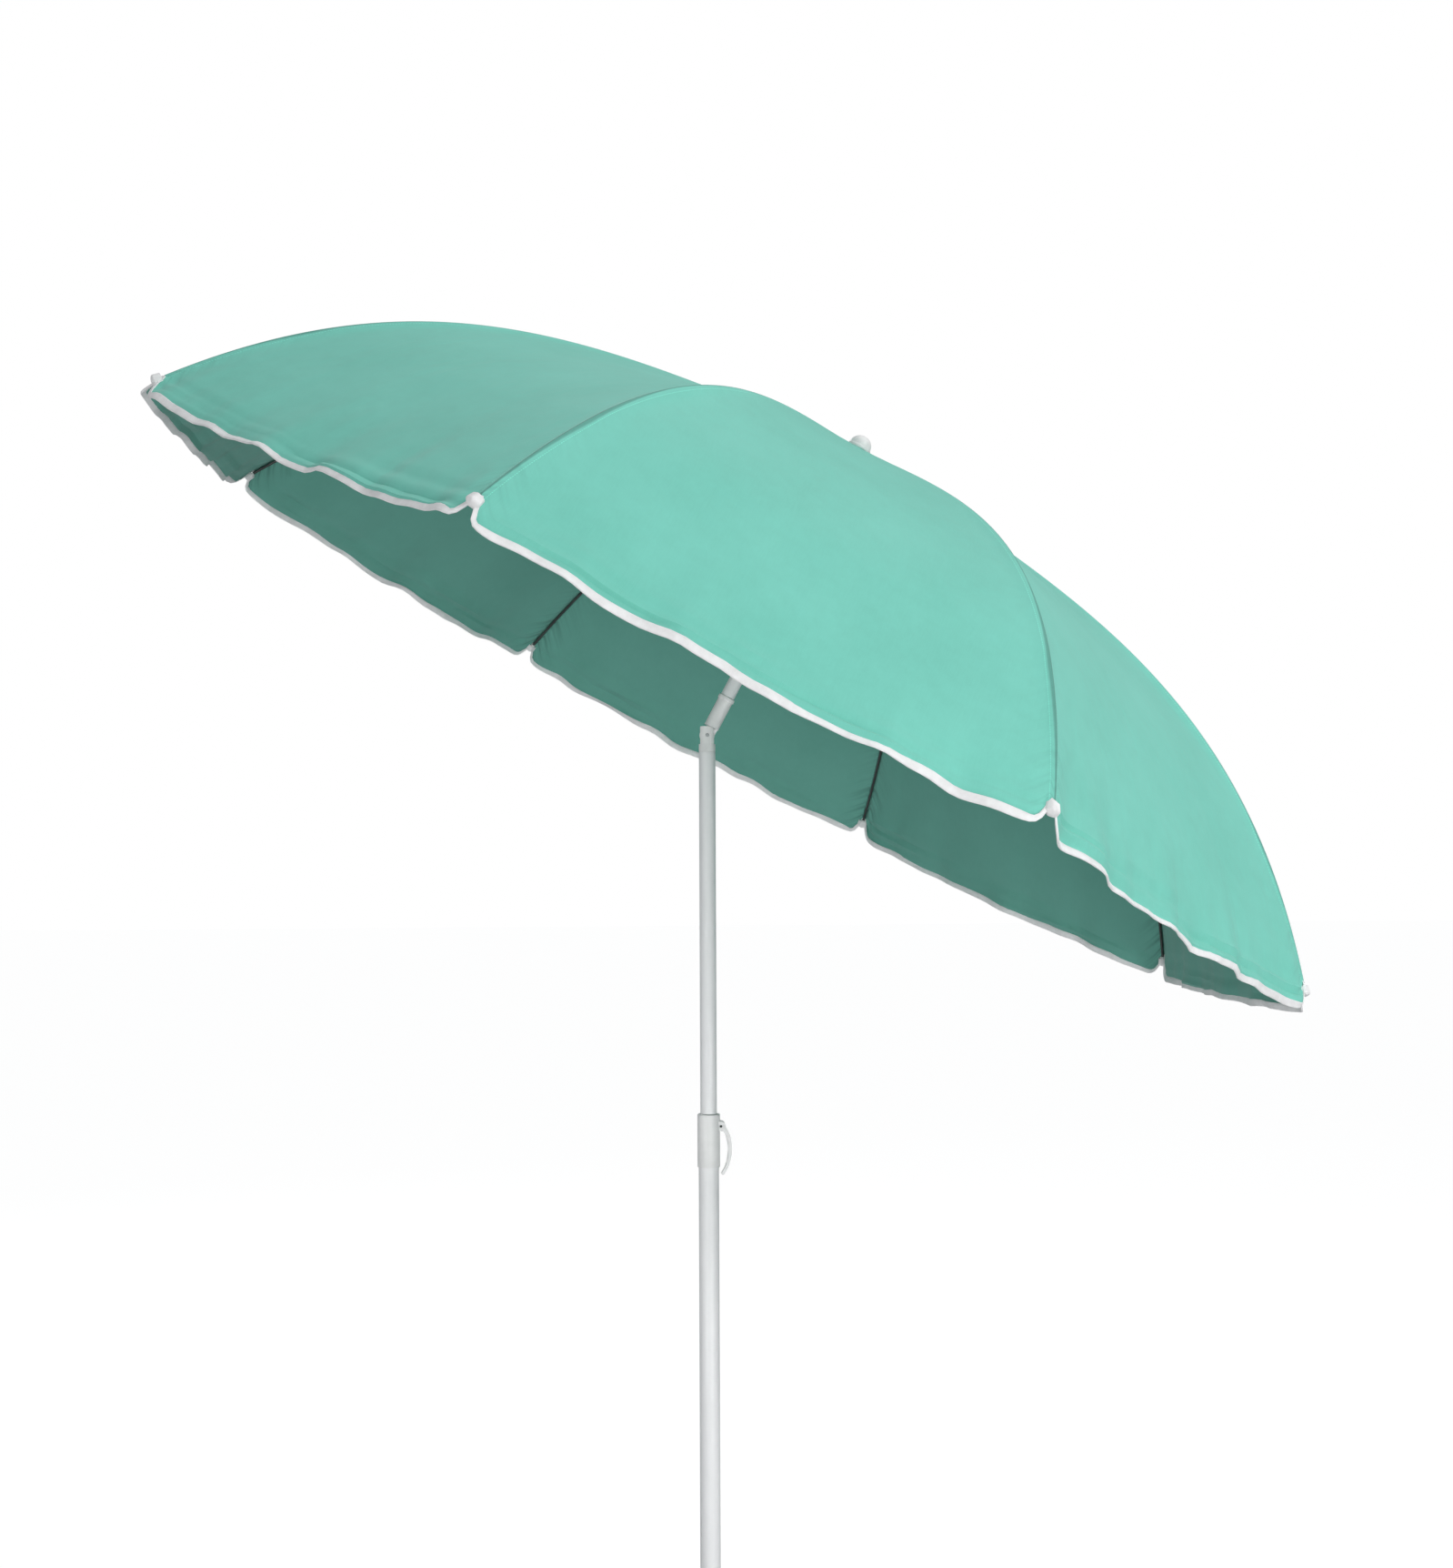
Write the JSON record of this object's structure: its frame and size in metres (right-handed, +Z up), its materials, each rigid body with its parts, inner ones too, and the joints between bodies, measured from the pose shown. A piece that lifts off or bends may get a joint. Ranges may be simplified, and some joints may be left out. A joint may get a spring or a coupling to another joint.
{
  "type": "beach umbrella",
  "caption": "Beach umbrella on a two-part pole with a ground spike, lever clamp and tilt joint, its ribbed fabric canopy folding with a sliding runner.",
  "frame": {"origin": "the tip of the ground spike, on the pole's axis", "axes": "+Z up along the pole, +X the side that the canopy leans to"},
  "size_m": [1.3804, 1.559, 1.934],
  "materials": {
    "pole_paint": "gloss white paint",
    "white_plastic": "moulded, half gloss",
    "grey_plastic": "moulded, matte",
    "steel": "plain wire",
    "black_steel": "black coat",
    "canopy_fabric": "plain weave, matte, sea green",
    "hem_binding": "white ribbed tape"
  },
  "bodies": {
    "lower_pole": {"ground_spike": "white_plastic", "lower_pole": "pole_paint", "guide_bush": "grey_plastic", "clamp_collar": "white_plastic", "lever_pin": "steel"},
    "clamp_lever": {"clamp_lever": "white_plastic"},
    "pole_plug": {"end_plug": "grey_plastic"},
    "upper_pole": {"upper_pole": "pole_paint", "tilt_socket": "white_plastic", "tilt_pin": "steel", "button_spring": "steel"},
    "tilt_button": {"tilt_button": "grey_plastic"},
    "shaft": {"tilt_knuckle": "white_plastic", "shaft": "pole_paint", "crown_hub": "white_plastic", "crown_ring": "steel", "finial": "white_plastic"},
    "runner_catch": {"runner_catch": "steel"},
    "runner": {"runner": "white_plastic", "runner_ring": "steel"},
    "rib_1": {"rib_1": "black_steel", "rib_tip_1": "white_plastic"},
    "stretcher_1": {"stretcher_1": "black_steel"},
    "flap_1a": {"half_panel_1a": "canopy_fabric"},
    "flap_1b": {"half_panel_1b": "canopy_fabric"},
    "rib_2": {"rib_2": "black_steel", "rib_tip_2": "white_plastic"},
    "stretcher_2": {"stretcher_2": "black_steel"},
    "flap_2a": {"half_panel_2a": "canopy_fabric"},
    "flap_2b": {"half_panel_2b": "canopy_fabric"},
    "rib_3": {"rib_3": "black_steel", "rib_tip_3": "white_plastic"},
    "stretcher_3": {"stretcher_3": "black_steel"},
    "flap_3a": {"half_panel_3a": "canopy_fabric"},
    "flap_3b": {"half_panel_3b": "canopy_fabric"},
    "rib_4": {"rib_4": "black_steel", "rib_tip_4": "white_plastic"},
    "stretcher_4": {"stretcher_4": "black_steel"},
    "flap_4a": {"half_panel_4a": "canopy_fabric"},
    "flap_4b": {"half_panel_4b": "canopy_fabric"},
    "rib_5": {"rib_5": "black_steel", "rib_tip_5": "white_plastic"},
    "stretcher_5": {"stretcher_5": "black_steel"},
    "flap_5a": {"half_panel_5a": "canopy_fabric"},
    "flap_5b": {"half_panel_5b": "canopy_fabric"},
    "rib_6": {"rib_6": "black_steel", "rib_tip_6": "white_plastic"},
    "stretcher_6": {"stretcher_6": "black_steel"},
    "flap_6a": {"half_panel_6a": "canopy_fabric"},
    "flap_6b": {"half_panel_6b": "canopy_fabric"},
    "rib_7": {"rib_7": "black_steel", "rib_tip_7": "white_plastic"},
    "stretcher_7": {"stretcher_7": "black_steel"},
    "flap_7a": {"half_panel_7a": "canopy_fabric"},
    "flap_7b": {"half_panel_7b": "canopy_fabric"},
    "rib_8": {"rib_8": "black_steel", "rib_tip_8": "white_plastic"},
    "stretcher_8": {"stretcher_8": "black_steel"},
    "flap_8a": {"half_panel_8a": "canopy_fabric"},
    "flap_8b": {"half_panel_8b": "canopy_fabric"}
  },
  "joints": [
    {"name": "clamp_lever_swing", "type": "hinge", "parent": "lower_pole", "child": "clamp_lever", "pos_m": [0.016, 0, 0.914], "axis": [0, -1, 0], "range_deg": [0, 110]},
    {"name": "pole_slide", "type": "slide", "parent": "lower_pole", "child": "pole_plug", "axis": [0, 0, 1], "range_m": [-0.43, 0.05]},
    {"name": "pole_swivel", "type": "hinge", "parent": "pole_plug", "child": "upper_pole", "pos_m": [0, 0, 0.78], "axis": [0, 0, 1], "continuous": true},
    {"name": "tilt", "type": "hinge", "parent": "upper_pole", "child": "shaft", "pos_m": [0, 0, 1.434], "axis": [0, 1, 0], "range_deg": [-28.1, 0]},
    {"name": "tilt_button_press", "type": "slide", "parent": "upper_pole", "child": "tilt_button", "axis": [0, -1, 0], "range_m": [0, 0.002], "stiffness_N_per_m": 500, "springref_m": -0.002, "deforming": ["button_spring"]},
    {"name": "runner_catch_press", "type": "hinge", "parent": "shaft", "child": "runner_catch", "pos_m": [0.09897, 0, 1.63527], "axis": [0, 1, 0], "range_deg": [0, 7.5], "stiffness_Nm_per_rad": 0.3, "springref_deg": -5.73},
    {"name": "runner_slide", "type": "slide", "parent": "shaft", "child": "runner", "axis": [0.471, 0, 0.8821], "range_m": [-0.19446, 0], "deforming": ["half_panel_1a", "half_panel_1b", "half_panel_2a", "half_panel_2b", "half_panel_3a", "half_panel_3b", "half_panel_4a", "half_panel_4b", "half_panel_5a", "half_panel_5b", "half_panel_6a", "half_panel_6b", "half_panel_7a", "half_panel_7b", "half_panel_8a", "half_panel_8b", "runner_catch"]},
    {"name": "rib_1_fold", "type": "hinge", "parent": "shaft", "child": "rib_1", "pos_m": [0.21463, 0.00612, 1.80459], "axis": [-0.3376, 0.9239, 0.1802], "range_deg": [0, 64.53]},
    {"name": "stretcher_1_fold", "type": "hinge", "parent": "runner", "child": "stretcher_1", "pos_m": [0.14327, 0.00979, 1.67544], "axis": [-0.3376, 0.9239, 0.1802], "range_deg": [-42.07, 0]},
    {"name": "flap_1a_fold", "type": "hinge", "parent": "rib_1", "child": "flap_1a", "pos_m": [0.21571, 0.00318, 1.80401], "axis": [0.9648, -0.2622, -0.0185], "range_deg": [0, 24.45]},
    {"name": "flap_1b_fold", "type": "hinge", "parent": "rib_1", "child": "flap_1b", "pos_m": [0.21356, 0.00906, 1.80516], "axis": [-0.5791, -0.7934, -0.1874], "range_deg": [0, 24.45]},
    {"name": "rib_2_fold", "type": "hinge", "parent": "shaft", "child": "rib_2", "pos_m": [0.20699, 0.01478, 1.80867], "axis": [-0.815, 0.3827, 0.4352], "range_deg": [0, 64.53]},
    {"name": "stretcher_2_fold", "type": "hinge", "parent": "runner", "child": "stretcher_2", "pos_m": [0.13389, 0.01587, 1.68045], "axis": [-0.815, 0.3827, 0.4352], "range_deg": [-42.07, 0]},
    {"name": "flap_2a_fold", "type": "hinge", "parent": "rib_2", "child": "flap_2a", "pos_m": [0.20959, 0.01356, 1.80728], "axis": [0.9062, 0.4226, 0.0128], "range_deg": [0, 24.45]},
    {"name": "flap_2b_fold", "type": "hinge", "parent": "rib_2", "child": "flap_2b", "pos_m": [0.2044, 0.016, 1.81005], "axis": [0.0249, -0.8598, -0.51], "range_deg": [0, 24.45]},
    {"name": "rib_3_fold", "type": "hinge", "parent": "shaft", "child": "rib_3", "pos_m": [0.19619, 0.01478, 1.81443], "axis": [-0.815, -0.3827, 0.4352], "range_deg": [0, 64.53]},
    {"name": "stretcher_3_fold", "type": "hinge", "parent": "runner", "child": "stretcher_3", "pos_m": [0.12347, 0.01266, 1.68601], "axis": [-0.815, -0.3827, 0.4352], "range_deg": [-42.07, 0]},
    {"name": "flap_3a_fold", "type": "hinge", "parent": "rib_3", "child": "flap_3a", "pos_m": [0.19879, 0.016, 1.81305], "axis": [0.4377, 0.8598, 0.263], "range_deg": [0, 24.45]},
    {"name": "flap_3b_fold", "type": "hinge", "parent": "rib_3", "child": "flap_3b", "pos_m": [0.1936, 0.01356, 1.81582], "axis": [0.4935, -0.4226, -0.7602], "range_deg": [0, 24.45]},
    {"name": "rib_4_fold", "type": "hinge", "parent": "shaft", "child": "rib_4", "pos_m": [0.18855, 0.00612, 1.81851], "axis": [-0.3376, -0.9239, 0.1802], "range_deg": [0, 64.53]},
    {"name": "stretcher_4_fold", "type": "hinge", "parent": "runner", "child": "stretcher_4", "pos_m": [0.1181, 0.00203, 1.68888], "axis": [-0.3376, -0.9239, 0.1802], "range_deg": [-42.07, 0]},
    {"name": "flap_4a_fold", "type": "hinge", "parent": "rib_4", "child": "flap_4a", "pos_m": [0.18963, 0.00906, 1.81794], "axis": [-0.1664, 0.7934, 0.5855], "range_deg": [0, 24.45]},
    {"name": "flap_4b_fold", "type": "hinge", "parent": "rib_4", "child": "flap_4b", "pos_m": [0.18748, 0.00318, 1.81909], "axis": [0.5521, 0.2622, -0.7915], "range_deg": [0, 24.45]},
    {"name": "rib_5_fold", "type": "hinge", "parent": "shaft", "child": "rib_5", "pos_m": [0.18855, -0.00612, 1.81851], "axis": [0.3376, -0.9239, -0.1802], "range_deg": [0, 64.53]},
    {"name": "stretcher_5_fold", "type": "hinge", "parent": "runner", "child": "stretcher_5", "pos_m": [0.12094, -0.00979, 1.68737], "axis": [0.3376, -0.9239, -0.1802], "range_deg": [-42.07, 0]},
    {"name": "flap_5a_fold", "type": "hinge", "parent": "rib_5", "child": "flap_5a", "pos_m": [0.18748, -0.00318, 1.81909], "axis": [-0.5521, 0.2622, 0.7915], "range_deg": [0, 24.45]},
    {"name": "flap_5b_fold", "type": "hinge", "parent": "rib_5", "child": "flap_5b", "pos_m": [0.18963, -0.00906, 1.81794], "axis": [0.1664, 0.7934, -0.5855], "range_deg": [0, 24.45]},
    {"name": "rib_6_fold", "type": "hinge", "parent": "shaft", "child": "rib_6", "pos_m": [0.19619, -0.01478, 1.81443], "axis": [0.815, -0.3827, -0.4352], "range_deg": [0, 64.53]},
    {"name": "stretcher_6_fold", "type": "hinge", "parent": "runner", "child": "stretcher_6", "pos_m": [0.13031, -0.01587, 1.68236], "axis": [0.815, -0.3827, -0.4352], "range_deg": [-42.07, 0]},
    {"name": "flap_6a_fold", "type": "hinge", "parent": "rib_6", "child": "flap_6a", "pos_m": [0.1936, -0.01356, 1.81582], "axis": [-0.4935, -0.4226, 0.7602], "range_deg": [0, 24.45]},
    {"name": "flap_6b_fold", "type": "hinge", "parent": "rib_6", "child": "flap_6b", "pos_m": [0.19879, -0.016, 1.81305], "axis": [-0.4377, 0.8598, -0.263], "range_deg": [0, 24.45]},
    {"name": "rib_7_fold", "type": "hinge", "parent": "shaft", "child": "rib_7", "pos_m": [0.20699, -0.01478, 1.80867], "axis": [0.815, 0.3827, -0.4352], "range_deg": [0, 64.53]},
    {"name": "stretcher_7_fold", "type": "hinge", "parent": "runner", "child": "stretcher_7", "pos_m": [0.14074, -0.01266, 1.67679], "axis": [0.815, 0.3827, -0.4352], "range_deg": [-42.07, 0]},
    {"name": "flap_7a_fold", "type": "hinge", "parent": "rib_7", "child": "flap_7a", "pos_m": [0.2044, -0.016, 1.81005], "axis": [-0.0249, -0.8598, 0.51], "range_deg": [0, 24.45]},
    {"name": "flap_7b_fold", "type": "hinge", "parent": "rib_7", "child": "flap_7b", "pos_m": [0.20959, -0.01356, 1.80728], "axis": [-0.9062, 0.4226, -0.0128], "range_deg": [0, 24.45]},
    {"name": "rib_8_fold", "type": "hinge", "parent": "shaft", "child": "rib_8", "pos_m": [0.21463, -0.00612, 1.80459], "axis": [0.3376, 0.9239, -0.1802], "range_deg": [0, 64.53]},
    {"name": "stretcher_8_fold", "type": "hinge", "parent": "runner", "child": "stretcher_8", "pos_m": [0.1461, -0.00203, 1.67393], "axis": [0.3376, 0.9239, -0.1802], "range_deg": [-42.07, 0]},
    {"name": "flap_8a_fold", "type": "hinge", "parent": "rib_8", "child": "flap_8a", "pos_m": [0.21356, -0.00906, 1.80516], "axis": [0.5791, -0.7934, 0.1874], "range_deg": [0, 24.45]},
    {"name": "flap_8b_fold", "type": "hinge", "parent": "rib_8", "child": "flap_8b", "pos_m": [0.21571, -0.00318, 1.80401], "axis": [-0.9648, -0.2622, 0.0185], "range_deg": [0, 24.45]}
  ],
  "couplings": [
    {"joint": "rib_1_fold", "follows": "runner_slide", "rad_per_m": -5.7911},
    {"joint": "stretcher_1_fold", "follows": "runner_slide", "rad_per_m": 3.775},
    {"joint": "flap_1a_fold", "follows": "runner_slide", "rad_per_m": -2.1936},
    {"joint": "flap_1b_fold", "follows": "runner_slide", "rad_per_m": -2.1936},
    {"joint": "rib_2_fold", "follows": "runner_slide", "rad_per_m": -5.7911},
    {"joint": "stretcher_2_fold", "follows": "runner_slide", "rad_per_m": 3.775},
    {"joint": "flap_2a_fold", "follows": "runner_slide", "rad_per_m": -2.1936},
    {"joint": "flap_2b_fold", "follows": "runner_slide", "rad_per_m": -2.1936},
    {"joint": "rib_3_fold", "follows": "runner_slide", "rad_per_m": -5.7911},
    {"joint": "stretcher_3_fold", "follows": "runner_slide", "rad_per_m": 3.775},
    {"joint": "flap_3a_fold", "follows": "runner_slide", "rad_per_m": -2.1936},
    {"joint": "flap_3b_fold", "follows": "runner_slide", "rad_per_m": -2.1936},
    {"joint": "rib_4_fold", "follows": "runner_slide", "rad_per_m": -5.7911},
    {"joint": "stretcher_4_fold", "follows": "runner_slide", "rad_per_m": 3.775},
    {"joint": "flap_4a_fold", "follows": "runner_slide", "rad_per_m": -2.1936},
    {"joint": "flap_4b_fold", "follows": "runner_slide", "rad_per_m": -2.1936},
    {"joint": "rib_5_fold", "follows": "runner_slide", "rad_per_m": -5.7911},
    {"joint": "stretcher_5_fold", "follows": "runner_slide", "rad_per_m": 3.775},
    {"joint": "flap_5a_fold", "follows": "runner_slide", "rad_per_m": -2.1936},
    {"joint": "flap_5b_fold", "follows": "runner_slide", "rad_per_m": -2.1936},
    {"joint": "rib_6_fold", "follows": "runner_slide", "rad_per_m": -5.7911},
    {"joint": "stretcher_6_fold", "follows": "runner_slide", "rad_per_m": 3.775},
    {"joint": "flap_6a_fold", "follows": "runner_slide", "rad_per_m": -2.1936},
    {"joint": "flap_6b_fold", "follows": "runner_slide", "rad_per_m": -2.1936},
    {"joint": "rib_7_fold", "follows": "runner_slide", "rad_per_m": -5.7911},
    {"joint": "stretcher_7_fold", "follows": "runner_slide", "rad_per_m": 3.775},
    {"joint": "flap_7a_fold", "follows": "runner_slide", "rad_per_m": -2.1936},
    {"joint": "flap_7b_fold", "follows": "runner_slide", "rad_per_m": -2.1936},
    {"joint": "rib_8_fold", "follows": "runner_slide", "rad_per_m": -5.7911},
    {"joint": "stretcher_8_fold", "follows": "runner_slide", "rad_per_m": 3.775},
    {"joint": "flap_8a_fold", "follows": "runner_slide", "rad_per_m": -2.1936},
    {"joint": "flap_8b_fold", "follows": "runner_slide", "rad_per_m": -2.1936}
  ]
}
